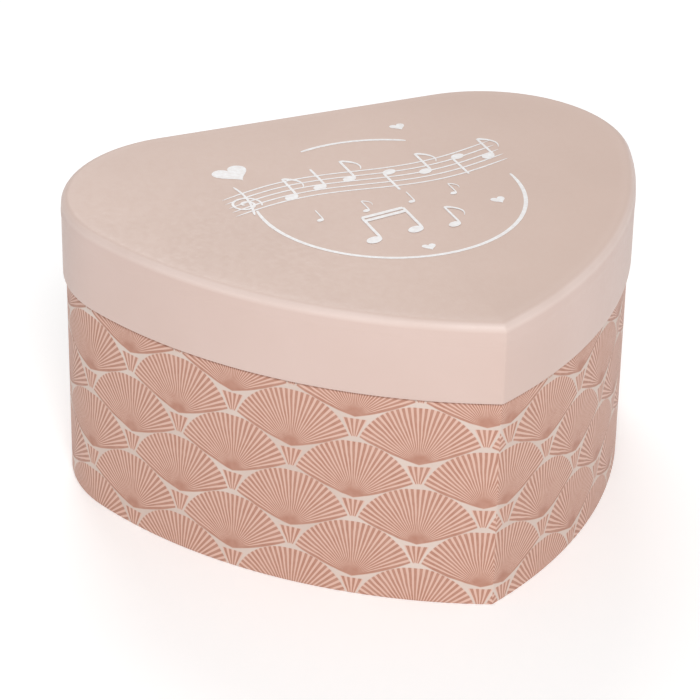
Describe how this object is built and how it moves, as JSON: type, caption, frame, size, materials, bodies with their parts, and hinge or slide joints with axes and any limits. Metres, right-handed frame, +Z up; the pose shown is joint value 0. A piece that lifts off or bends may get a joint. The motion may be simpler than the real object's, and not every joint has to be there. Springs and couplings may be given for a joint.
{
  "type": "wind up music box",
  "caption": "Heart shaped wind up music box with a flat back, a hinged lid with a mirror, a turning dancer on a small stage and open compartments round it.",
  "frame": {"origin": "centre of the bounding box on the ground under the box, lid closed", "axes": "+X across the box to the right, +Y towards the flat hinged back and the key, -Y towards the point, +Z up"},
  "size_m": [0.18, 0.1718, 0.093],
  "materials": {
    "printed_board": "printed paper over board",
    "grey_board": "plain board",
    "lid_paper": "satin printed paper over board",
    "inner_paper": "satin paper over board",
    "hinge_cloth": "paper backed book cloth",
    "ribbon": "satin",
    "velvet": "flocked",
    "mirror": "polished",
    "frame_gilt": "satin",
    "brass": "polished",
    "cast_zinc": "satin as cast zinc",
    "steel": "ground",
    "dancer_plastic": "satin",
    "disc_plastic": "gloss",
    "net": "sheer"
  },
  "bodies": {
    "case": {"base_wall": "printed_board", "base_floor": "grey_board", "base_collar": "inner_paper", "hinge_leaf_lower": "hinge_cloth", "ribbon_stay": "ribbon", "jewel_pad": "velvet", "movement_housing": "inner_paper", "stage_board": "inner_paper", "spindle_bush": "brass", "bedplate": "cast_zinc", "bedplate_screws": "steel", "barrel_bridge_rear": "cast_zinc", "barrel_bridge_front": "cast_zinc", "cylinder_bridge_rear": "cast_zinc", "cylinder_bridge_front": "cast_zinc", "bridge_screws": "steel", "comb": "steel", "comb_base": "cast_zinc", "comb_screws": "steel", "governor_cage": "brass", "governor_screw": "steel", "key_escutcheon": "brass", "stop_pin_guide": "brass", "click_screw": "steel", "click_spring": "steel", "stop_pin_spring": "steel"},
    "lid": {"lid_top": "lid_paper", "lid_skirt": "lid_paper", "lid_lining": "velvet", "mirror_glass": "mirror", "mirror_frame": "frame_gilt", "stop_presser": "inner_paper", "hinge_leaf_upper": "hinge_cloth"},
    "key": {"winding_key": "brass", "winding_arbor": "steel", "ratchet_wheel": "steel"},
    "click": {"click_pawl": "steel"},
    "barrel": {"spring_barrel": "brass", "barrel_cover": "brass", "great_wheel": "brass", "mainspring": "steel"},
    "cylinder": {"tune_cylinder": "brass", "cylinder_pins": "steel", "cylinder_caps": "brass", "cylinder_arbor": "steel", "cylinder_wheel": "brass", "cylinder_pinion": "steel", "dancer_drive_pinion": "steel"},
    "second_arbor": {"second_arbor": "steel", "worm_wheel": "brass"},
    "fan": {"worm_spindle": "steel", "fan_blade": "brass"},
    "dancer": {"dancer_spindle": "steel", "crown_wheel": "brass", "dancer_disc": "disc_plastic", "dancer_spring": "brass", "dancer_body": "dancer_plastic", "dancer_tutu": "net"},
    "stop_pin": {"stop_pin": "steel"}
  },
  "joints": [
    {"name": "lid_hinge", "type": "hinge", "parent": "case", "child": "lid", "pos_m": [0, 0.06593, 0.06665], "axis": [-1, 0, 0], "range_deg": [0, 100]},
    {"name": "stop_pin_slide", "type": "slide", "parent": "case", "child": "stop_pin", "axis": [0, 0, 1], "range_m": [0, 0.005], "deforming": ["stop_pin_spring"]},
    {"name": "key_turn", "type": "hinge", "parent": "case", "child": "key", "pos_m": [0.015, 0.06241, 0.0185], "axis": [0, 1, 0], "continuous": true},
    {"name": "click_pivot", "type": "hinge", "parent": "case", "child": "click", "pos_m": [0.02079, 0.05481, 0.02539], "axis": [0, 1, 0], "range_deg": [0, 12], "stiffness_Nm_per_rad": 0.0005},
    {"name": "cylinder_spin", "type": "hinge", "parent": "case", "child": "cylinder", "pos_m": [0, 0.02741, 0.0185], "axis": [0, 1, 0], "continuous": true},
    {"name": "barrel_spin", "type": "hinge", "parent": "case", "child": "barrel", "pos_m": [0.015, 0.04741, 0.0185], "axis": [0, 1, 0], "continuous": true},
    {"name": "second_arbor_spin", "type": "hinge", "parent": "case", "child": "second_arbor", "pos_m": [-0.00636, 0.01241, 0.01214], "axis": [0, 1, 0], "continuous": true},
    {"name": "fan_spin", "type": "hinge", "parent": "case", "child": "fan", "pos_m": [-0.01396, 0.00871, 0.02], "axis": [0, 0, 1], "continuous": true},
    {"name": "dancer_spin", "type": "hinge", "parent": "case", "child": "dancer", "pos_m": [0, 0.00641, 0.035], "axis": [0, 0, 1], "continuous": true}
  ],
  "couplings": [
    {"joint": "stop_pin_slide", "follows": "lid_hinge", "m_per_rad": 0.00286},
    {"joint": "barrel_spin", "follows": "cylinder_spin", "ratio": -0.25},
    {"joint": "second_arbor_spin", "follows": "cylinder_spin", "ratio": -4},
    {"joint": "fan_spin", "follows": "cylinder_spin", "ratio": 120},
    {"joint": "dancer_spin", "follows": "cylinder_spin", "ratio": -0.5}
  ]
}
